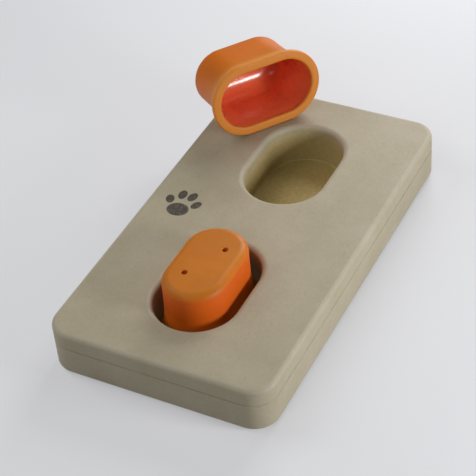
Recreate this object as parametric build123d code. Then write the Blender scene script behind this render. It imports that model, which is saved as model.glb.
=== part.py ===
from build123d import *
from math import asin, atan2, degrees, hypot
import os

# All lengths are in millimetres. X runs across the board, Y along it, and Z = 0
# is the plane that the four feet stand on.

# Board, two layers glued face to face.
board_length = 220.0
board_width = 120.0
corner_radius = 13.0
top_board_thickness = 9.5
base_board_thickness = 16.0
top_edge_round = 2.5
base_edge_round = 1.5
seam_ease = 0.5

# Two oblong pockets that hold the treats and take the cups, one by each end of the board.
pocket_length = 66.5
pocket_width = 43.5
pocket_from_end = 25.75
pocket_floor_thickness = 2.5
pocket_rim_round = 3.0

# Cups, closed at one end and flared to a lip at the other.
cup_clearance = 0.75
cup_rise = 15.0
cup_end_length = 54.5
cup_end_width = 33.0
cup_wall = 2.2
cup_end_thickness = 2.5
cup_end_round = 4.0
lip_height = 2.5
lip_thickness = 5.0
flare_power = 5.0
flare_steps = (0.0, 0.3, 0.5, 0.64, 0.75, 0.84, 0.92, 1.0)
lip_round = 1.2
cup_inner_round = 6.0
smell_hole_diameter = 3.0
smell_hole_across = 11.0
smell_hole_along = 22.0

# The cup that is taken off lies on its flat side over the back left corner. The middle
# of its mouth is this far in from the board's two edges there.
lying_from_side = 33.4
lying_from_end = 33.3
lying_turn = -36.5
lying_gap = 0.3

# Anti-slip feet under the board.
foot_diameter = 12.0
foot_thickness = 1.5
foot_edge_round = 0.4
foot_inset = 16.0

# Sizes and heights that follow from those above.
seam_height = foot_thickness + base_board_thickness
board_top = seam_height + top_board_thickness
pocket_floor = foot_thickness + pocket_floor_thickness
pocket_y = board_length / 2 - pocket_from_end - pocket_length / 2
pocket_floor_round = cup_clearance
cup_height = board_top - pocket_floor + cup_rise
lip_length = pocket_length - 2 * cup_clearance
lip_width = pocket_width - 2 * cup_clearance
foot_x = board_width / 2 - foot_inset
foot_y = board_length / 2 - foot_inset


def board_layer(bottom, thickness):
    """A rounded oblong slab."""
    slab = extrude(RectangleRounded(board_width, board_length, corner_radius), thickness)
    return Pos(0, 0, bottom) * slab


def pocket_pair(bottom, top):
    """The space of both pockets between two heights."""
    outline = SlotOverall(pocket_length, pocket_width, rotation=90)
    space = extrude(outline, top - bottom)
    return Pos(0, -pocket_y, bottom) * space + Pos(0, pocket_y, bottom) * space


def edges_at(solid, height):
    """The edges that lie flat at one height."""
    return solid.edges().filter_by_position(Axis.Z, height, height)


def split_edges(solid, height):
    """The edges at one height: first those of the board's outline, then those of the pockets."""
    flat = edges_at(solid, height)
    reach_y = pocket_y + pocket_length / 2 + pocket_rim_round
    reach_x = pocket_width / 2 + pocket_rim_round
    rims = [e for e in flat if abs(e.center().X) < reach_x and abs(e.center().Y) < reach_y]
    return ShapeList([e for e in flat if e not in rims]), ShapeList(rims)


def top_board():
    """The upper layer, cut right through by both pockets."""
    board = board_layer(seam_height, top_board_thickness) - pocket_pair(seam_height, board_top)
    outline, rims = split_edges(board, board_top)
    board = fillet(outline, top_edge_round)
    outline, rims = split_edges(board, board_top)
    board = fillet(rims, pocket_rim_round)
    outline, rims = split_edges(board, seam_height)
    return chamfer(outline, seam_ease)


def base_board():
    """The lower layer, with the blind ends of both pockets."""
    board = board_layer(foot_thickness, base_board_thickness) - pocket_pair(pocket_floor, seam_height)
    outline, rims = split_edges(board, foot_thickness)
    board = fillet(outline, base_edge_round)
    outline, rims = split_edges(board, seam_height)
    board = chamfer(outline, seam_ease)
    return fillet(edges_at(board, pocket_floor), pocket_floor_round)


def cup_form(height, end_inset, lip_inset):
    """A solid oval form that widens from its closed end to the lip, as a power of the depth."""
    sections = []
    for step in flare_steps:
        flare = step ** flare_power
        inset = end_inset + (lip_inset - end_inset) * flare
        length = cup_end_length + (lip_length - cup_end_length) * flare - 2 * inset
        width = cup_end_width + (lip_width - cup_end_width) * flare - 2 * inset
        level = lip_height + (height - lip_height) * (1 - step)
        sections.append(Pos(0, 0, level) * SlotOverall(length, width, rotation=90))
    lip = SlotOverall(lip_length - 2 * lip_inset, lip_width - 2 * lip_inset, rotation=90)
    return loft(sections) + extrude(lip, lip_height)


def cup():
    """A cup that stands on its mouth, with the middle of the mouth at the origin."""
    outside = cup_form(cup_height, 0, 0)
    outside = fillet(edges_at(outside, cup_height), cup_end_round)
    inside_height = cup_height - cup_end_thickness
    inside = cup_form(inside_height, cup_wall, lip_thickness)
    inside = fillet(edges_at(inside, inside_height), cup_inner_round)
    shell = outside - inside
    shell = fillet(edges_at(shell, 0), lip_round)
    hole = Cylinder(smell_hole_diameter / 2, 2 * cup_end_thickness)
    for side in (-1, 1):
        shell -= Pos(side * smell_hole_across / 2, side * smell_hole_along / 2, cup_height) * hole
    return shell


def lying_lean():
    """How far a cup on its flat side tips: its lip is wider than its closed end."""
    across = (lip_width / 2 - lip_round) - (cup_end_width / 2 - cup_end_round)
    along = cup_height - cup_end_round - lip_round
    return degrees(atan2(across, along) - asin((cup_end_round - lip_round) / hypot(across, along)))


def seated_cup():
    """A cup mouth down on the floor of the front pocket."""
    return Pos(0, -pocket_y, pocket_floor) * cup()


def lying_cup():
    """A cup on its flat side on the board, beside the back pocket."""
    turned = Rot(0, 0, lying_turn) * Rot(0, -90 - lying_lean(), 0) * cup()
    lift = board_top + lying_gap - turned.bounding_box().min.Z
    return Pos(lying_from_side - board_width / 2, board_length / 2 - lying_from_end, lift) * turned


def foot():
    """A round rubber pad."""
    pad = Pos(0, 0, foot_thickness / 2) * Cylinder(foot_diameter / 2, foot_thickness)
    return fillet(edges_at(pad, 0), foot_edge_round)


parts = {
    "top_board": top_board(),
    "base_board": base_board(),
    "front_cup": seated_cup(),
    "back_cup": lying_cup(),
}
for row, y in (("front", -foot_y), ("back", foot_y)):
    for column, x in (("left", -foot_x), ("right", foot_x)):
        parts[f"foot_{row}_{column}"] = Pos(x, y, 0) * foot()

os.makedirs("parts", exist_ok=True)
for name, solid in parts.items():
    export_step(solid, f"parts/{name}.step")
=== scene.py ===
"""Looks of an oblong dog puzzle board with two pockets and two flared cups.

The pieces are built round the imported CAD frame. Lengths are in metres, angles in radians. X runs
across the board, Y along it and Z up.
"""

from math import asin, atan2, cos, hypot, pi, radians, sin

import bmesh
import bpy
import numpy as np
from mathutils import Matrix, Vector


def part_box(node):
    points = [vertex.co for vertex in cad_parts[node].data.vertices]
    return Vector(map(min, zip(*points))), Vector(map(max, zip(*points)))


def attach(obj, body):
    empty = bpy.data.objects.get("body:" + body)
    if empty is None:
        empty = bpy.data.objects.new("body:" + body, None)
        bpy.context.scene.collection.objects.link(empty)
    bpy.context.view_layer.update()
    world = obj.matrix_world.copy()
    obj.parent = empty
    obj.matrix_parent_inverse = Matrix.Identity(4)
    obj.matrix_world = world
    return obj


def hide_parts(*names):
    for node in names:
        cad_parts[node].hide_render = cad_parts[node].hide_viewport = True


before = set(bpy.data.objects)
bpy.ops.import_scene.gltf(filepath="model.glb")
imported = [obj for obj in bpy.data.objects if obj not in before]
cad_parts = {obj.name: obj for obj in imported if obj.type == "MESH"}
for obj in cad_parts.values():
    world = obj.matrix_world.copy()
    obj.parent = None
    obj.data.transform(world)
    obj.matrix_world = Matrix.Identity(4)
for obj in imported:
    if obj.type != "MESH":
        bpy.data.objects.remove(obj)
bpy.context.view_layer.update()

MM = 0.001

# Heights, places and half sizes that come from the frame.
base_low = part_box("base_board")[0]
lid_low, lid_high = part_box("top_board")
seat_low, seat_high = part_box("front_cup")
BOARD_HALF_WIDTH = lid_high.x
BOARD_HALF_LENGTH = lid_high.y
BOARD_TOP = lid_high.z
SEAM = lid_low.z
BOARD_BOTTOM = base_low.z
POCKET_FLOOR = seat_low.z
POCKET_Y = -(seat_low.y + seat_high.y) / 2
LIP_HALF_WIDTH = seat_high.x
LIP_HALF_LENGTH = (seat_high.y - seat_low.y) / 2
CUP_HEIGHT = seat_high.z - seat_low.z

# Board. The insets, rounds and half sizes repeat those of the CAD solids.
CORNER_RADIUS = 13 * MM
TOP_ROUND = 2.5 * MM
BASE_ROUND = 1.5 * MM
SEAM_EASE = 0.5 * MM
POCKET_HALF_WIDTH = 21.75 * MM
POCKET_HALF_LENGTH = 33.25 * MM
RIM_ROUND = 3 * MM
FLOOR_ROUND = 0.75 * MM

# Cups. The inner round would run into the smell holes, so the wall's rows follow it only as far in
# as its reach, and the closed end's inner face takes it on from there.
END_HALF_WIDTH = 16.5 * MM
END_HALF_LENGTH = 27.25 * MM
CUP_WALL = 2.2 * MM
END_THICKNESS = 2.5 * MM
END_ROUND = 4 * MM
INNER_ROUND = 10 * MM
INNER_ROUND_REACH = 6.5 * MM
LIP_HEIGHT = 2.5 * MM
LIP_THICKNESS = 5 * MM
LIP_ROUND = 1.2 * MM
FLARE_POWER = 5
HOLE_RADIUS = 1.5 * MM
HOLE_CENTRE = (5.5 * MM, 11 * MM)
HOLE_EASE = 0.3 * MM
LYING_TURN = radians(-36.5)

# Feet. The dish is the hollow underneath, and its share is how far out it reaches.
FOOT_RADIUS = 6 * MM
FOOT_ROUND = 0.4 * MM
FOOT_DISH = 0.25 * MM
FOOT_DISH_SHARE = 0.7

# Grid densities: steps along a board side, a cup side, a corner, a middle line and the rounds.
BOARD_STEPS = 24
CUP_SIDE_STEPS = 12
CORNER_STEPS = 24
MIDDLE_STEPS = 16
ROUND_STEPS = 8
INNER_ROUND_STEPS = 12
SMALL_ROUND_STEPS = 5
WALL_STEPS = 39
DISH_STEPS = 6
FOOT_SIDES = 64

# Where a flat face is cut on its way in, as shares. Cuts lie close together beside an edge that
# is shaded smooth, so that the flat stays flat.
FACE_CUTS = (0, 0.012, 0.2, 0.5, 0.8, 0.985, 1)
UNDERSIDE_CUTS = (0, 0.012, 0.3, 0.6, 1)
FLOOR_CUTS = (0, 0.03, 0.3, 0.6, 1)
END_CUTS = (0, 0.03, 0.3, 0.6, 0.9, 1)
INNER_END_CUTS = np.linspace(0, 1, 13)

# Points nearer than this are one, edges that turn by more than this are shaded sharp, and a
# length as small as this stands for nought in a division.
WELD_DISTANCE = 2e-6
SHARP_TURN = radians(35)
NOUGHT = 1e-9


# ---- Outlines and profiles -------------------------------------------------------------------


def half_path(side_steps, corner_steps, end_steps):
    """Half of a rounded oblong's outline, from its right side round the far end to its left side.

    Each point is core * core_size + radius * normal. Along a side or an end the core moves and
    the normal stands still; round a corner the core stands still and the normal turns by 90
    degrees. Returns the unit core points and the normals.
    """
    side = np.linspace(0, 1, side_steps + 1)
    turn = np.linspace(0, pi / 2, corner_steps + 1)[1:]
    across = np.linspace(1, -1, end_steps + 1)[1:]
    ones = np.ones(side_steps + 1 + corner_steps)
    core_x = np.concatenate([ones, across, -ones[1:]])
    core_y = np.concatenate([side, np.ones(2 * corner_steps + end_steps), side[::-1][1:]])
    angle = np.concatenate([0 * side, turn, 0 * across + pi / 2, pi / 2 + turn, 0 * side[1:] + pi])
    return np.stack([core_x, core_y], -1), np.stack([np.cos(angle), np.sin(angle)], -1)


def oblong(path, half_width, half_length, radius, inset):
    """A rounded oblong's half outline, one row for each inset: core + (radius - inset) * normal."""
    core, normal = path
    inset = np.asarray(inset, float)[..., None, None]
    return core * (half_width - radius, half_length - radius) + (radius - inset) * normal


def quarter(radius, steps=ROUND_STEPS, start=0):
    """A quarter round from a flat onto a wall: the distance in from the wall falls as
    radius * (1 - sin a) while the drop below the flat grows as radius * (1 - cos a)."""
    angle = np.linspace(start, pi / 2, steps + 1)
    return radius * (1 - np.sin(angle)), radius * (1 - np.cos(angle))


def raised(points, heights):
    """Gives each row of flat points its own height."""
    heights = np.broadcast_to(np.asarray(heights, float)[:, None], points.shape[:2])
    return np.concatenate([points, heights[..., None]], -1)


def closed_across(points):
    """Adds points along the middle line, so that a half outline encloses its half."""
    across = np.linspace(points[-1], points[0], MIDDLE_STEPS + 1)[1:-1]
    return np.concatenate([points, across])


def oblong_towards(points, centre, half_straight, radius):
    """Where rays from an oblong's centre towards the given points cross its outline.

    A ray leaves through the straight side where radius / |ray x| reaches it below the straight's
    end, and otherwise through the round end, a circle about (0, half_straight). Returns the core
    points and the normals, so that centre + core + r * normal is the outline of any radius r.
    """
    ray = points - centre
    ray = ray / np.linalg.norm(ray, axis=-1, keepdims=True)
    x, y = ray[:, 0], ray[:, 1]
    side_y = radius * y / np.maximum(np.abs(x), NOUGHT)
    on_side = np.abs(side_y) <= half_straight
    reach = half_straight * np.abs(y) + np.sqrt(np.maximum(radius**2 - (half_straight * x) ** 2, 0))
    core_y = np.where(on_side, side_y, np.sign(y) * half_straight)
    core = np.stack([0 * x, core_y], -1)
    round_normal = (reach[:, None] * ray - core) / radius
    side_normal = np.stack([np.sign(x), 0 * x], -1)
    return core, np.where(on_side[:, None], side_normal, round_normal)


def between(outer, inner, shares):
    """Straight lines from an outer loop to an inner one, cut at the given shares of their length:
    outer + (inner - outer) * share."""
    shares = np.asarray(shares, float)[:, None, None]
    return outer + (inner - outer) * shares


# ---- Meshes ----------------------------------------------------------------------------------


def weld(name, patches, body, node, marks, place=Matrix()):
    """Joins grids of points into one closed piece that stands for a CAD node.

    Each patch is a grid of points and whether its columns close into a loop. Neighbours in a
    grid become quads, points that meet are merged, and every normal is turned outwards. marks
    gives numbers for each vertex, worked out from its place before the piece is put in its own.
    """
    corners, quads, start = [], [], 0
    for grid, loops in patches:
        rows, columns = grid.shape[:2]
        index = start + np.arange(rows * columns).reshape(rows, columns)
        if loops:
            index = np.concatenate([index, index[:, :1]], 1)
        cells = [index[:-1, :-1], index[:-1, 1:], index[1:, 1:], index[1:, :-1]]
        quads.append(np.stack(cells, -1).reshape(-1, 4))
        corners.append(grid.reshape(-1, 3))
        start += rows * columns
    mesh = bpy.data.meshes.new(name)
    mesh.from_pydata(np.concatenate(corners).tolist(), [], np.concatenate(quads).tolist())
    form = bmesh.new()
    form.from_mesh(mesh)
    bmesh.ops.remove_doubles(form, verts=form.verts, dist=WELD_DISTANCE)
    bmesh.ops.recalc_face_normals(form, faces=form.faces)
    for edge in form.edges:
        edge.smooth = edge.calc_face_angle(0) < SHARP_TURN
    for face in form.faces:
        face.smooth = True
    form.to_mesh(mesh)
    form.free()
    points = vertex_places(mesh)
    for mark, values in marks.items():
        layer = mesh.attributes.new(mark, "FLOAT", "POINT")
        layer.data.foreach_set("value", values(points).astype(np.float32))
    mesh.transform(place)
    piece = bpy.data.objects.new(name, mesh)
    bpy.context.scene.collection.objects.link(piece)
    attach(piece, body)
    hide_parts(node)
    return piece


def vertex_places(mesh):
    """The places of a mesh's vertices, one row each."""
    points = np.empty(len(mesh.vertices) * 3)
    mesh.vertices.foreach_get("co", points)
    return points.reshape(-1, 3)


def both_halves(patches):
    """The patches and their copies turned by 180 degrees about the vertical axis."""
    return patches + [(grid * (-1, -1, 1), loops) for grid, loops in patches]


# ---- Board -----------------------------------------------------------------------------------

BOARD_PATH = half_path(BOARD_STEPS, CORNER_STEPS, BOARD_STEPS)
POCKET_CENTRE = np.array([0, POCKET_Y])
POCKET_STRAIGHT = POCKET_HALF_LENGTH - POCKET_HALF_WIDTH


def board_edge(insets):
    """Half of the board's outline, one row for each inset."""
    return oblong(BOARD_PATH, BOARD_HALF_WIDTH, BOARD_HALF_LENGTH, CORNER_RADIUS, insets)


def face_loop(inset):
    """The outline of half of a flat board face, closed along the board's middle line."""
    return closed_across(board_edge([inset])[0])


POCKET_CORE, POCKET_NORMAL = oblong_towards(
    face_loop(TOP_ROUND), POCKET_CENTRE, POCKET_STRAIGHT, POCKET_HALF_WIDTH + RIM_ROUND)


def pocket_loops(growth):
    """The pocket's outline, one row for each distance that it grows by."""
    radius = POCKET_HALF_WIDTH + np.asarray(growth, float)[:, None, None]
    return POCKET_CENTRE + POCKET_CORE + radius * POCKET_NORMAL


def board_face(inset, growth, height):
    """Half of a flat face, from the board's outline to the pocket's rim."""
    rows = between(face_loop(inset), pocket_loops([growth])[0], FACE_CUTS)
    return raised(rows, [height] * len(rows)), True


# The raw tone of the pockets starts below this margin under the top face, which takes in the first
# row of the rim's round, and has faded out this far from the wall.
RAW_MARGIN = 0.02 * RIM_ROUND
RAW_FADE_END = 0.8 * RIM_ROUND

# The pale band along the rounded edges, a painted highlight and edge wear, is strongest at this
# drop below the top face, ends this far above and below that, and starts below this margin under
# the face.
HIGHLIGHT_AND_WEAR_DROP = 0.3 * TOP_ROUND
HIGHLIGHT_AND_WEAR_REACH = 0.6 * TOP_ROUND
HIGHLIGHT_AND_WEAR_MARGIN = 0.01 * TOP_ROUND


def pocket_depth(points):
    """1 on the pockets' walls and floors, fading to 0 over their rims with the distance from the
    wall. In the far pocket the fade runs on down the upper layer's wall, so that this wall is
    painted paler towards the top: painted light, as falls on its upper part."""
    x, y, z = points.T
    beyond = np.maximum(np.abs(np.abs(y) - POCKET_Y) - POCKET_STRAIGHT, 0)
    reach = np.hypot(x, beyond) - POCKET_HALF_WIDTH
    rim = np.clip((RAW_FADE_END - reach) / RIM_ROUND, 0, 1) * (z < BOARD_TOP - RAW_MARGIN)
    down = np.clip((BOARD_TOP - z) / (BOARD_TOP - SEAM), 0, 1)
    # Painted light: in the far pocket the raw tone comes in only down the upper layer's wall,
    # leaving its top paler.
    return rim * np.where(y > 0, down, 1)


# Painted shade: the near pocket's walls are darkened as the dim gap round the seated cup, tinged
# red by the cup.
def near_gap_painted_shade(points):
    """1 on the walls of the near pocket, fading to 0 on the floor and the rim, and 0 elsewhere:
    painted shade of the narrow, dim gap round the seated cup."""
    rise = np.clip((points[:, 2] - POCKET_FLOOR) / RIM_ROUND, 0, 1)
    return pocket_depth(points) * rise * (points[:, 1] < 0)


def edge_highlight_and_wear(points):
    """1 along the rounded top edge and the pockets' rims, fading to 0 up and down from there, and 0
    on the faces: 1 - |drop - the band's drop| / the band's reach. The band is a painted highlight
    on the rounds, and edge wear."""
    drop = BOARD_TOP - points[:, 2]
    return np.clip(1 - np.abs(drop - HIGHLIGHT_AND_WEAR_DROP) / HIGHLIGHT_AND_WEAR_REACH, 0, 1) * (drop > HIGHLIGHT_AND_WEAR_MARGIN)


# The marks: the pockets' raw tone with painted light paling the far pocket's upper wall, painted
# shade on the near pocket's walls, and a painted highlight with wear along the rounded edges.
BOARD_MARKS = {"pocket": pocket_depth, "gap_painted_shade": near_gap_painted_shade, "highlight_and_wear": edge_highlight_and_wear}


def make_top_board():
    """The upper layer: faces round both pockets, a rounded edge and rounded pocket rims."""
    edge_in, edge_drop = quarter(TOP_ROUND)
    rim_out, rim_drop = quarter(RIM_ROUND)
    edge_insets = np.concatenate([edge_in, [0, 0, SEAM_EASE]])
    edge_heights = np.concatenate([
        BOARD_TOP - edge_drop,
        [SEAM + 2 * SEAM_EASE, SEAM + SEAM_EASE, SEAM]])
    rim_growths = np.append(rim_out, 0)
    rim_heights = np.append(BOARD_TOP - rim_drop, SEAM)
    patches = [
        board_face(TOP_ROUND, RIM_ROUND, BOARD_TOP),
        (raised(board_edge(edge_insets), edge_heights), False),
        (raised(pocket_loops(rim_growths), rim_heights), True),
        board_face(SEAM_EASE, 0, SEAM),
    ]
    halves = both_halves(patches)
    return weld("upper_board_layer", halves, "board", "top_board", BOARD_MARKS)


def make_base_board():
    """The lower layer: a flat face, blind pockets with a rounded foot, and an underside."""
    edge_in, edge_drop = quarter(BASE_ROUND)
    floor_in, floor_rise = quarter(FLOOR_ROUND)
    edge_insets = np.concatenate([[SEAM_EASE, 0, 0], edge_in[::-1]])
    edge_heights = np.concatenate([
        [SEAM, SEAM - SEAM_EASE, SEAM - 2 * SEAM_EASE],
        BOARD_BOTTOM + edge_drop[::-1]])
    wall_growths = np.concatenate([[0], -floor_in[::-1]])
    wall_heights = np.concatenate([[SEAM], POCKET_FLOOR + floor_rise[::-1]])
    floor = between(pocket_loops([-FLOOR_ROUND])[0], POCKET_CENTRE, FLOOR_CUTS)
    under = between(face_loop(BASE_ROUND), POCKET_CENTRE, UNDERSIDE_CUTS)
    patches = [
        board_face(SEAM_EASE, 0, SEAM),
        (raised(board_edge(edge_insets), edge_heights), False),
        (raised(pocket_loops(wall_growths), wall_heights), True),
        (raised(floor, [POCKET_FLOOR] * len(floor)), True),
        (raised(under, [BOARD_BOTTOM] * len(under)), True),
    ]
    halves = both_halves(patches)
    return weld("lower_board_layer", halves, "board", "base_board", BOARD_MARKS)


# ---- Cups ------------------------------------------------------------------------------------

CUP_PATH = half_path(CUP_SIDE_STEPS, CORNER_STEPS, 0)
INNER_TOP = CUP_HEIGHT - END_THICKNESS

# A point further outside the inner wall than this margin belongs to the outer wall, and one above
# this height to the outside of the closed end.
INNER_WALL_MARGIN = 0.3 * MM
OUTSIDE_HEIGHT = CUP_HEIGHT - 0.6 * END_THICKNESS

# The heights over which each tone of a cup comes in or fades out: the painted shade in the hollow
# and on the wall, and the painted highlight on the lip.
HOLLOW_FADE = (0.5 * LIP_ROUND, 2 * LIP_ROUND)
SHOULDER_FADE = (CUP_HEIGHT - 1.2 * END_ROUND, CUP_HEIGHT - 0.1 * END_ROUND)
FLARE_FADE = (0.12 * CUP_HEIGHT, 0.6 * CUP_HEIGHT)
LIP_FADE = (0.1 * CUP_HEIGHT, 0.35 * CUP_HEIGHT)

# How strongly the seated cup shows the lip's painted highlight, and the lying cup the wall's
# painted shade: the two cups are alike, and are painted apart by how the light falls on each.
SEATED_LIP_SHARE = 0.3
LYING_FLANK_SHARE = 0.4


def cup_section(height, inside):
    """Half width and half length of the cup at a height above its lip.

    From the closed end to the lip both grow by the flare's power of the depth. The inside lies
    in by the wall at the closed end and by the thicker lip at the mouth.
    """
    closed = INNER_TOP if inside else CUP_HEIGHT
    depth = np.clip((closed - height) / (closed - LIP_HEIGHT), 0, 1)
    flare = depth**FLARE_POWER
    wall = CUP_WALL + (LIP_THICKNESS - CUP_WALL) * flare if inside else 0
    half_width = END_HALF_WIDTH + (LIP_HALF_WIDTH - END_HALF_WIDTH) * flare - wall
    half_length = END_HALF_LENGTH + (LIP_HALF_LENGTH - END_HALF_LENGTH) * flare - wall
    return half_width, half_length


def cup_rows(heights, insets, inside):
    """Half outlines of the cup's wall, one for each height, each set in by its own inset."""
    core, normal = CUP_PATH
    half_width, half_length = cup_section(np.asarray(heights), inside)
    straight = np.stack([0 * half_width, half_length - half_width], -1)[:, None, :]
    radius = (half_width - np.asarray(insets))[:, None, None]
    return raised(core * straight + radius * normal, heights)


def end_outline(height, inset, inside):
    """The closed end's flat, cut along the cup's middle line."""
    return closed_across(cup_rows([height], [inset], inside)[0, :, :2])


HOLE_RAYS = end_outline(CUP_HEIGHT, END_ROUND, False) - HOLE_CENTRE
HOLE_TOWARDS = HOLE_RAYS / np.linalg.norm(HOLE_RAYS, axis=-1, keepdims=True)


def hole_loops(radii):
    """The smell hole's circle, one row for each radius."""
    return HOLE_CENTRE + np.asarray(radii)[:, None, None] * HOLE_TOWARDS


def on_inner_face(points):
    """Gives flat points the height of the closed end's inner face. It is level in the middle, and
    where the inset from the wall falls short of the inner round it drops by
    radius - sqrt(radius^2 - short^2)."""
    half_width, half_length = cup_section(INNER_TOP, True)
    beyond = np.maximum(np.abs(points[..., 1]) - (half_length - half_width), 0)
    inset = half_width - np.hypot(points[..., 0], beyond)
    short = np.clip(INNER_ROUND - inset, 0, INNER_ROUND)
    drop = INNER_ROUND - np.sqrt(INNER_ROUND**2 - short**2)
    return np.concatenate([points, (INNER_TOP - drop)[..., None]], -1)


def outer_end():
    """Half of the closed end's flat outer face, as a ring from its outline to its smell hole."""
    hole = hole_loops([HOLE_RADIUS + HOLE_EASE])[0]
    flat = between(end_outline(CUP_HEIGHT, END_ROUND, False), hole, END_CUTS)
    return raised(flat, [CUP_HEIGHT] * len(flat)), True


def inner_end():
    """Half of the closed end's inner face, as a ring from its wall's round to its smell hole."""
    outline = end_outline(INNER_TOP, INNER_ROUND_REACH, True)
    hole = hole_loops([HOLE_RADIUS])[0]
    return on_inner_face(between(outline, hole, INNER_END_CUTS)), True


def hole_wall():
    """The smell hole's wall, from its eased outer edge to the inner face."""
    circles = hole_loops([HOLE_RADIUS + HOLE_EASE, HOLE_RADIUS])
    eased = raised(circles, [CUP_HEIGHT, CUP_HEIGHT - HOLE_EASE])
    return np.concatenate([eased, on_inner_face(hole_loops([HOLE_RADIUS]))]), True


def cup_patches():
    """Half a cup on its mouth, the mouth's middle at the origin: rounded shoulder, flared wall,
    rounded lip, inner wall, both faces of the closed end and the wall of its smell hole."""
    end_in, end_drop = quarter(END_ROUND)
    inner_start = asin(1 - INNER_ROUND_REACH / INNER_ROUND)
    inner_in, inner_drop = quarter(INNER_ROUND, INNER_ROUND_STEPS, inner_start)
    lip_in, lip_rise = quarter(LIP_ROUND, SMALL_ROUND_STEPS)
    walk = np.linspace(0, 1, WALL_STEPS + 1)[1:]
    outer = cup_rows(
        np.concatenate([
            CUP_HEIGHT - end_drop,
            CUP_HEIGHT - END_ROUND - (CUP_HEIGHT - END_ROUND - LIP_ROUND) * walk,
            lip_rise[-2::-1]]),
        np.concatenate([end_in, 0 * walk, lip_in[-2::-1]]), False)
    inner = cup_rows(
        np.concatenate([
            lip_rise,
            LIP_ROUND + (INNER_TOP - INNER_ROUND - LIP_ROUND) * walk,
            INNER_TOP - inner_drop[-2::-1]]),
        np.concatenate([-lip_in, 0 * walk, inner_in[-2::-1]]), True)
    return [(np.concatenate([outer, inner]), False), outer_end(), inner_end(), hole_wall()]


def wall_reach(points, inside):
    """How far points lie outside the cup's outer or inner wall at their height."""
    x, y, z = points.T
    half_width, half_length = cup_section(z, inside)
    return np.hypot(x, np.maximum(np.abs(y) - (half_length - half_width), 0)) - half_width


def ease(value, low, high):
    """0 below low, 1 above high and a smooth s-curve between."""
    share = np.clip((value - low) / (high - low), 0, 1)
    return share * share * (3 - 2 * share)


def hollow_depth(points):
    """1 on the cup's inside, fading to 0 over the lip's inner round, and 0 outside. It gives the
    hollow its gloss and its painted shade.
    """
    z = points[:, 2]
    inside = (wall_reach(points, True) < INNER_WALL_MARGIN) & (z < OUTSIDE_HEIGHT)
    return inside * ease(z, *HOLLOW_FADE)


def flank(points):
    """1 on the outer wall behind the shoulder, fading to 0 on the closed end and at the flare:
    where the wall's painted shade lies.
    """
    z = points[:, 2]
    outside = wall_reach(points, True) > INNER_WALL_MARGIN
    return outside * (1 - ease(z, *SHOULDER_FADE)) * ease(z, *FLARE_FADE)


def lip_highlight(points):
    """1 on the lip and the flare, fading to 0 up the wall: where the painted highlight lies."""
    return 1 - ease(points[:, 2], *LIP_FADE)


def faint(mark, share):
    """A share of a mark."""
    return lambda points: share * mark(points)


def lying_lean():
    """How far a cup on its flat side tips: its lip is wider than its closed end."""
    across = (LIP_HALF_WIDTH - LIP_ROUND) - (END_HALF_WIDTH - END_ROUND)
    along = CUP_HEIGHT - END_ROUND - LIP_ROUND
    return atan2(across, along) - asin((END_ROUND - LIP_ROUND) / hypot(across, along))


def make_seated_cup():
    """The cup that stands mouth down in the near pocket."""
    place = Matrix.Translation((0, -POCKET_Y, POCKET_FLOOR))
    marks = {"hollow": hollow_depth, "flank": flank, "lip": faint(lip_highlight, SEATED_LIP_SHARE)}
    halves = both_halves(cup_patches())
    return weld("near_cup", halves, "seated_cup", "front_cup", marks, place)


def make_lying_cup():
    """The cup that is taken off and lies on its flat side over the board's corner."""
    turn = Matrix.Rotation(LYING_TURN, 4, "Z") @ Matrix.Rotation(-pi / 2 - lying_lean(), 4, "Y")
    halves = both_halves(cup_patches())
    corners = np.concatenate([grid.reshape(-1, 3) for grid, loops in halves])
    turned = corners @ np.array(turn.to_3x3()).T
    low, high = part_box("back_cup")
    middle = (low + high) / 2 - Vector((turned.min(0) + turned.max(0)) / 2)
    place = Matrix.Translation(middle) @ turn
    marks = {"hollow": hollow_depth, "flank": faint(flank, LYING_FLANK_SHARE), "lip": lip_highlight}
    return weld("far_cup", halves, "lying_cup", "back_cup", marks, place)


# ---- Feet ------------------------------------------------------------------------------------


def make_foot(column, row):
    """A round rubber pad: a profile turned about its axis, with a shallow dish underneath whose
    height grows as the sine of the way to the middle."""
    node = f"foot_{row}_{column}"
    low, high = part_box(node)
    round_in, round_rise = quarter(FOOT_ROUND, SMALL_ROUND_STEPS)
    dish = np.linspace(0, 1, DISH_STEPS + 1)
    radii = np.concatenate([
        [0, FOOT_RADIUS],
        FOOT_RADIUS - round_in[::-1],
        FOOT_DISH_SHARE * FOOT_RADIUS * (1 - dish)])
    heights = np.concatenate([
        [high.z, high.z],
        low.z + round_rise[::-1],
        low.z + FOOT_DISH * np.sin(dish * pi / 2)])
    angle = np.linspace(0, 2 * pi, FOOT_SIDES, endpoint=False)
    circle = np.stack([np.cos(angle), np.sin(angle)], -1)
    middle = np.array([(low.x + high.x) / 2, (low.y + high.y) / 2])
    patches = [(raised(middle + radii[:, None, None] * circle, heights), True)]
    return weld(f"rubber_foot_{row}_{column}", patches, "board", node, {})


# ---- Finishes --------------------------------------------------------------------------------

# A Mix node's sockets for colours come after those for numbers and vectors.
FIRST_COLOUR = 6
SECOND_COLOUR = 7
MIXED_COLOUR = 2


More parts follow.
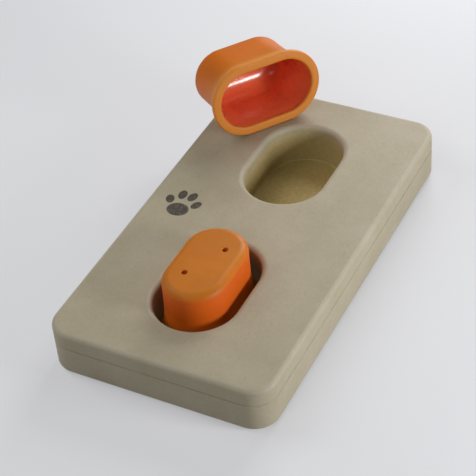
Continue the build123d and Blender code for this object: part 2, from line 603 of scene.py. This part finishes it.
class Finish:
    """A material under construction: a Principled shader and the nodes that feed it."""

    def __init__(self, name, **sockets):
        self.material = bpy.data.materials.new(name)
        self.material.use_nodes = True
        self.nodes = self.material.node_tree.nodes
        self.shader = self.nodes["Principled BSDF"]
        for socket, value in sockets.items():
            self.shader.inputs[socket.replace("_", " ")].default_value = value
        self.place = self.nodes.new("ShaderNodeTexCoord").outputs["Object"]

    def feed(self, socket, value):
        """Gives a socket a number, a colour or another node's output."""
        if isinstance(value, bpy.types.NodeSocket):
            self.material.node_tree.links.new(value, socket)
        else:
            socket.default_value = value

    def stretched(self, scales, turn):
        """The place on the object, scaled along each axis and then turned about Z."""
        node = self.nodes.new("ShaderNodeMapping")
        self.feed(node.inputs["Vector"], self.place)
        node.inputs["Scale"].default_value = scales
        node.inputs["Rotation"].default_value = (0, 0, turn)
        return node.outputs["Vector"]

    def noise(self, scale, detail, roughness, vector=None):
        """Soft noise about 0.5, on the place itself or on a stretched one."""
        node = self.nodes.new("ShaderNodeTexNoise")
        self.feed(node.inputs["Vector"], vector or self.place)
        node.inputs["Scale"].default_value = scale
        node.inputs["Detail"].default_value = detail
        node.inputs["Roughness"].default_value = roughness
        return node.outputs["Fac"]

    def spread(self, value, low, high, to_low=0, to_high=1):
        """Maps low..high of a value onto another range, held at its ends."""
        node = self.nodes.new("ShaderNodeMapRange")
        self.feed(node.inputs["Value"], value)
        node.inputs["From Min"].default_value = low
        node.inputs["From Max"].default_value = high
        node.inputs["To Min"].default_value = to_low
        node.inputs["To Max"].default_value = to_high
        return node.outputs["Result"]

    def calc(self, operation, first, second):
        """One operation on two numbers."""
        node = self.nodes.new("ShaderNodeMath")
        node.operation = operation
        self.feed(node.inputs[0], first)
        self.feed(node.inputs[1], second)
        return node.outputs[0]

    def blend(self, share, first, second):
        """Mixes two colours by a share of the second."""
        node = self.nodes.new("ShaderNodeMix")
        node.data_type = "RGBA"
        self.feed(node.inputs["Factor"], share)
        self.feed(node.inputs[FIRST_COLOUR], first)
        self.feed(node.inputs[SECOND_COLOUR], second)
        return node.outputs[MIXED_COLOUR]

    def mark(self, name):
        """A number kept with each vertex."""
        node = self.nodes.new("ShaderNodeAttribute")
        node.attribute_name = name
        return node.outputs["Fac"]

    def bump(self, height, strength, distance, under=None):
        """Relief from a height, on top of a coarser or finer relief where one is given."""
        node = self.nodes.new("ShaderNodeBump")
        self.feed(node.inputs["Height"], height)
        node.inputs["Strength"].default_value = strength
        node.inputs["Distance"].default_value = distance
        if under:
            self.feed(node.inputs["Normal"], under)
        return node.outputs["Normal"]

    def colour(self, value):
        self.feed(self.shader.inputs["Base Color"], value)

    def gloss(self, value):
        self.feed(self.shader.inputs["Roughness"], value)

    def relief(self, value):
        self.feed(self.shader.inputs["Normal"], value)


# Colours: the board's lacquered faces, its raw pocket walls, the painted shade of the near pocket's
# gap, the painted highlight and wear on its edges, its print, the cups with a painted highlight on
# the lip and painted shade on the wall and in the hollow, and the feet.
BOARD_LIGHT = (0.435, 0.385, 0.28, 1)
BOARD_DARK = (0.365, 0.315, 0.211, 1)
BOARD_FLECK = (0.27, 0.22, 0.14, 1)
RAW_LIGHT = (0.50, 0.395, 0.155, 1)
RAW_DARK = (0.355, 0.265, 0.09, 1)
# Painted shade: the dim gap round the seated cup, tinged red by the cup.
GAP_PAINTED_SHADE = (0.115, 0.048, 0.019, 1)
# Painted highlight and wear: the pale band along the rounded edges.
BOARD_EDGE_HIGHLIGHT_AND_WEAR = (0.50, 0.46, 0.36, 1)
INK = (0.045, 0.038, 0.03, 1)
CUP_ORANGE = (0.60, 0.18, 0.006, 1)
CUP_CLOUD = (0.52, 0.155, 0.005, 1)
# Painted shade: the redder tone the cup's outer wall takes in its shade.
CUP_FLANK_SHADE = (0.73, 0.122, 0.006, 1)
# Painted highlight: lighter and yellower on the lip and flare.
CUP_LIP_HIGHLIGHT = (0.70, 0.24, 0.03, 1)
# Painted shade: the deep red of the hollow, lit only by light bounced round inside it.
CUP_HOLLOW_SHADE = (0.86, 0.155, 0.058, 1)
RUBBER = (0.022, 0.022, 0.023, 1)
RUBBER_DUST = (0.06, 0.058, 0.055, 1)

# Gloss: the roughness of the dullest and the glossiest spots, and the specular levels.
BOARD_DULL = 0.62
BOARD_GLOSSY = 0.48
BOARD_SPECULAR = 0.35
CUP_DULL = 0.56
CUP_GLOSSY = 0.46
CUP_SPECULAR = 0.3
HOLLOW_GLOSS_GAIN = 0.25
COAT_ROUGHNESS = 0.23
RUBBER_DULL = 0.9
RUBBER_GLOSSY = 0.7
RUBBER_SPECULAR = 0.3

# Patterns: waves to the metre, detail and roughness of the noise.
MOTTLE = (38, 5, 0.6)
PRINT_GRAIN = (900, 2, 0.6)
CLOUD = (60, 3, 0.5)
SATIN = (220, 3, 0.6)
SKIN = (2400, 2, 0.5)
DUST = (500, 5, 0.7)
PORES = (1500, 2, 0.6)

# Fibres and flecks are long one way and fine the others. They give their waves to the metre by a
# stretched place, so that the scale of their own noise is 1.
FIBRES = (1, 3, 0.6)
FIBRE_LONG = 420
FIBRE_FINE = 1700
FIBRE_TURNS = (0.5, 0.3)
FLECKS = (1, 2, 0.5)
FLECK_LONG = 260
FLECK_FINE = 900
FLECK_TURN = 1.1
FLECK_RANGE = (0.66, 0.74)

# How strongly each pattern shows: the mottling's and the fibres' shares of the tone, the flecks'
# darkness, and the least and the most of the edges' painted highlight and wear, and of the ink.
MOTTLE_SHARE = 0.55
FIBRE_SHARE = 0.45
FLECK_SHARE = 0.35
HIGHLIGHT_AND_WEAR_SHARES = (0.35, 0.8)
INK_SHARES = (0.72, 0.95)

# Relief: strength and depth.
FIBRE_RELIEF = (0.25, 0.15 * MM)
MOTTLE_RELIEF = (0.15, 0.5 * MM)
SKIN_RELIEF = (0.06, 0.04 * MM)
PORE_RELIEF = (0.3, 0.08 * MM)


def fibre_board(name, printed):
    """Lacquered fibre board: soft mottling, two layers of short fibres that lie across each other,
    dark flecks, yellower raw walls in the pockets with painted light paling the far pocket's upper
    wall, painted shade darkening the near pocket's walls round the seated cup, and a paler band
    along the edges that is painted highlight and wear."""
    finish = Finish(name, Specular_IOR_Level=BOARD_SPECULAR)
    mottle = finish.noise(*MOTTLE)
    lengthways = finish.stretched((FIBRE_FINE, FIBRE_LONG, FIBRE_FINE), FIBRE_TURNS[0])
    crossways = finish.stretched((FIBRE_LONG, FIBRE_FINE, FIBRE_FINE), FIBRE_TURNS[1])
    fibres = finish.calc("ADD",
        finish.noise(*FIBRES, lengthways), finish.noise(*FIBRES, crossways))
    grain = finish.calc("MULTIPLY", fibres, 0.5)
    tone = finish.calc("ADD",
        finish.spread(mottle, 0.35, 0.65, 0, MOTTLE_SHARE),
        finish.spread(grain, 0.38, 0.62, 0, FIBRE_SHARE))
    colour = finish.blend(tone, BOARD_DARK, BOARD_LIGHT)
    slanting = finish.stretched((FLECK_FINE, FLECK_LONG, FLECK_FINE), FLECK_TURN)
    flecks = finish.spread(finish.noise(*FLECKS, slanting), *FLECK_RANGE, 0, FLECK_SHARE)
    colour = finish.blend(flecks, colour, BOARD_FLECK)
    raw = finish.blend(finish.spread(grain, 0.35, 0.65), RAW_DARK, RAW_LIGHT)
    # Painted shade on the near pocket's walls round the seated cup.
    raw = finish.blend(finish.mark("gap_painted_shade"), raw, GAP_PAINTED_SHADE)
    # The raw tone, faded out up the far pocket's upper wall as painted light.
    colour = finish.blend(finish.mark("pocket"), colour, raw)
    # Painted highlight and wear along the rounded edges.
    uneven = finish.spread(mottle, 0.3, 0.7, *HIGHLIGHT_AND_WEAR_SHARES)
    highlight_and_wear = finish.calc("MULTIPLY", finish.mark("highlight_and_wear"), uneven)
    colour = finish.blend(highlight_and_wear, colour, BOARD_EDGE_HIGHLIGHT_AND_WEAR)
    if printed:
        ink = paw_print(finish)
        patchy = finish.spread(finish.noise(*PRINT_GRAIN), 0.3, 0.5, *INK_SHARES)
        colour = finish.blend(finish.calc("MULTIPLY", ink, patchy), colour, INK)
    finish.colour(colour)
    finish.gloss(finish.spread(grain, 0.35, 0.65, BOARD_DULL, BOARD_GLOSSY))
    fine = finish.bump(grain, *FIBRE_RELIEF)
    finish.relief(finish.bump(mottle, *MOTTLE_RELIEF, fine))
    return finish.material


# The print: a paw that points along the board, a main pad and four toes, each an oval given by
# its centre and its half sizes in millimetres and its turn in degrees. The edge is how much of
# an oval's half size its soft edge takes up on either side.
PRINT_CENTRE = (-40.5 * MM, -2 * MM)
PAW_OVALS = (
    ((0, -4.2), (6.0, 5.0), 0),
    ((-7.7, 2.1), (2.3, 3.3), 24),
    ((-2.9, 7.4), (2.4, 3.6), 8),
    ((2.9, 7.4), (2.4, 3.6), -8),
    ((7.7, 2.1), (2.3, 3.3), -24),
)
PRINT_EDGE = 0.06
PRINT_DEPTH = 2 * MM


def paw_print(finish):
    """1 inside any of the paw's ovals on the top face and 0 outside: each oval is the place
    shifted to its centre, turned and divided by its half sizes, cut off at a length of 1."""
    ink = 0.0
    for (x, y), (half_x, half_y), turn in PAW_OVALS:
        centre = Vector((PRINT_CENTRE[0] + x * MM, PRINT_CENTRE[1] + y * MM, BOARD_TOP))
        node = finish.nodes.new("ShaderNodeMapping")
        node.vector_type = "TEXTURE"
        finish.feed(node.inputs["Vector"], finish.place)
        node.inputs["Location"].default_value = centre
        node.inputs["Rotation"].default_value = (0, 0, radians(turn))
        node.inputs["Scale"].default_value = (half_x * MM, half_y * MM, PRINT_DEPTH)
        length = finish.nodes.new("ShaderNodeVectorMath")
        length.operation = "LENGTH"
        finish.feed(length.inputs[0], node.outputs["Vector"])
        oval = finish.spread(length.outputs["Value"], 1 - PRINT_EDGE, 1 + PRINT_EDGE, 1, 0)
        ink = finish.calc("MAXIMUM", oval, ink)
    return ink


def cup_plastic():
    """Satin moulded plastic with a fine skin: orange with faint clouding and glossy in the hollow,
    with a painted highlight that makes the lip yellower and painted shade that makes the wall
    redder and the hollow red."""
    finish = Finish(
        "satin_orange_plastic", Specular_IOR_Level=CUP_SPECULAR, Coat_Roughness=COAT_ROUGHNESS)
    cloud = finish.noise(*CLOUD)
    colour = finish.blend(finish.spread(cloud, 0.3, 0.7), CUP_CLOUD, CUP_ORANGE)
    # Painted highlight on the lip and flare.
    colour = finish.blend(finish.mark("lip"), colour, CUP_LIP_HIGHLIGHT)
    # Painted shade on the outer wall.
    colour = finish.blend(finish.mark("flank"), colour, CUP_FLANK_SHADE)
    # Painted shade in the hollow.
    colour = finish.blend(finish.mark("hollow"), colour, CUP_HOLLOW_SHADE)
    finish.colour(colour)
    satin = finish.spread(finish.noise(*SATIN), 0.3, 0.7, CUP_GLOSSY, CUP_DULL)
    gain = finish.calc("MULTIPLY", finish.mark("hollow"), HOLLOW_GLOSS_GAIN)
    finish.gloss(finish.calc("SUBTRACT", satin, gain))
    finish.feed(finish.shader.inputs["Coat Weight"], finish.mark("hollow"))
    finish.relief(finish.bump(finish.noise(*SKIN), *SKIN_RELIEF))
    return finish.material


def foot_rubber():
    """Matt dark rubber with a little dust."""
    finish = Finish("matt_rubber", Specular_IOR_Level=RUBBER_SPECULAR)
    dust = finish.spread(finish.noise(*DUST), 0.45, 0.75)
    finish.colour(finish.blend(dust, RUBBER, RUBBER_DUST))
    finish.gloss(finish.spread(dust, 0, 1, RUBBER_GLOSSY, RUBBER_DULL))
    finish.relief(finish.bump(finish.noise(*PORES), *PORE_RELIEF))
    return finish.material


# ---- Stage, light and camera -----------------------------------------------------------------

FLOOR_PALE = (0.74, 0.745, 0.77, 1)
FLOOR_GLOW = 0.45
FLOOR_ROUGHNESS = 0.7
FLOOR_SPECULAR = 0.2
FLOOR_REACH = 4.0
SKY_WARM = (1.0, 0.985, 0.96, 1)
SKY_STRENGTH = 0.05

# Each lamp's azimuth and elevation in degrees, its distance, its size and its power in watts.
LAMPS = {
    "back": (180, 32, 0.62, 0.35, 2.65),
    "side": (86, 17, 0.5, 0.12, 1.45),
    "front": (0, 48, 0.7, 0.35, 0.85),
    "left": (285, 48, 0.6, 0.35, 1.15),
}


def make_floor():
    """A pale plain surface that fills the view. Seen directly or in a reflection it glows by a
    share of its own colour, so that it stays pale far from the lamps and keeps its shadows."""
    mesh = bpy.data.meshes.new("floor")
    signs = ((-1, -1), (1, -1), (1, 1), (-1, 1))
    corners = [(FLOOR_REACH * x, FLOOR_REACH * y, 0) for x, y in signs]
    mesh.from_pydata(corners, [], [(0, 1, 2, 3)])
    floor = bpy.data.objects.new("floor", mesh)
    bpy.context.scene.collection.objects.link(floor)
    finish = Finish("pale_floor", Roughness=FLOOR_ROUGHNESS, Specular_IOR_Level=FLOOR_SPECULAR)
    finish.colour(FLOOR_PALE)
    ray = finish.nodes.new("ShaderNodeLightPath")
    seen = finish.calc("MAXIMUM", ray.outputs["Is Camera Ray"], ray.outputs["Is Glossy Ray"])
    seen = finish.calc("MAXIMUM", seen, ray.outputs["Is Transmission Ray"])
    glow = finish.nodes.new("ShaderNodeEmission")
    glow.inputs["Color"].default_value = FLOOR_PALE
    mix = finish.nodes.new("ShaderNodeMixShader")
    finish.feed(mix.inputs["Fac"], finish.calc("MULTIPLY", seen, FLOOR_GLOW))
    finish.feed(mix.inputs[1], finish.shader.outputs["BSDF"])
    finish.feed(mix.inputs[2], glow.outputs["Emission"])
    finish.feed(finish.nodes["Material Output"].inputs["Surface"], mix.outputs["Shader"])
    mesh.materials.append(finish.material)


def direction(azimuth, elevation):
    """The unit vector from the board towards a direction: azimuth 0 is the near end, 90 degrees
    the right side."""
    across = sin(azimuth) * cos(elevation)
    along = -cos(azimuth) * cos(elevation)
    return Vector((across, along, sin(elevation)))


def make_lamp(name, azimuth, elevation, distance, size, power):
    """A square soft box that looks at the board's middle from a direction."""
    lamp = bpy.data.lights.new(name, "AREA")
    lamp.shape = "SQUARE"
    lamp.size = size
    lamp.energy = power
    box = bpy.data.objects.new(name, lamp)
    back = direction(radians(azimuth), radians(elevation))
    box.location = back * distance
    box.rotation_mode = "QUATERNION"
    box.rotation_quaternion = back.to_track_quat("Z", "Y")
    bpy.context.scene.collection.objects.link(box)


def make_sky():
    """A faint warm light from all round."""
    world = bpy.data.worlds.new("soft_room")
    world.use_nodes = True
    background = world.node_tree.nodes["Background"]
    background.inputs["Color"].default_value = SKY_WARM
    background.inputs["Strength"].default_value = SKY_STRENGTH
    bpy.context.scene.world = world


# The camera's direction, tilt and distance, and where it looks. The lens is given by its focal
# length in image pixels and by how much it enlarges the object to fill the frame.
CAMERA_AZIMUTH = radians(29.7)
CAMERA_ELEVATION = radians(40.9)
CAMERA_ROLL = radians(-5.2)
CAMERA_DISTANCE = 0.811
CAMERA_TARGET = (-0.0098, 0.0006, 0.0115)
CAMERA_CLIP = 0.01
IMAGE_SIDE = 476
FOCAL_PIXELS = 705
ENLARGEMENT = 2.2
SENSOR = 36.0


def make_camera():
    """A camera above the near right corner, rolled a little and framed closely."""
    back = direction(CAMERA_AZIMUTH, CAMERA_ELEVATION)
    level = Vector((cos(CAMERA_AZIMUTH), sin(CAMERA_AZIMUTH), 0))
    upright = back.cross(level)
    right = cos(CAMERA_ROLL) * level + sin(CAMERA_ROLL) * upright
    up = back.cross(right)
    lens = bpy.data.cameras.new("camera")
    lens.sensor_width = SENSOR
    lens.lens = FOCAL_PIXELS * ENLARGEMENT / IMAGE_SIDE * SENSOR
    lens.clip_start = CAMERA_CLIP
    camera = bpy.data.objects.new("camera", lens)
    turn = Matrix((right, up, back)).transposed().to_4x4()
    camera.matrix_world = Matrix.Translation(Vector(CAMERA_TARGET) + back * CAMERA_DISTANCE) @ turn
    bpy.context.scene.collection.objects.link(camera)
    bpy.context.scene.camera = camera


# ---- Assembly --------------------------------------------------------------------------------

plain_board = fibre_board("fibre_board", False)
printed_board = fibre_board("printed_fibre_board", True)
plastic = cup_plastic()
rubber = foot_rubber()

make_top_board().data.materials.append(printed_board)
make_base_board().data.materials.append(plain_board)
make_seated_cup().data.materials.append(plastic)
make_lying_cup().data.materials.append(plastic)
for row in ("front", "back"):
    for column in ("left", "right"):
        make_foot(column, row).data.materials.append(rubber)

make_floor()
make_sky()
for name, settings in LAMPS.items():
    make_lamp(name, *settings)
make_camera()
bpy.context.scene.view_settings.view_transform = "Standard"
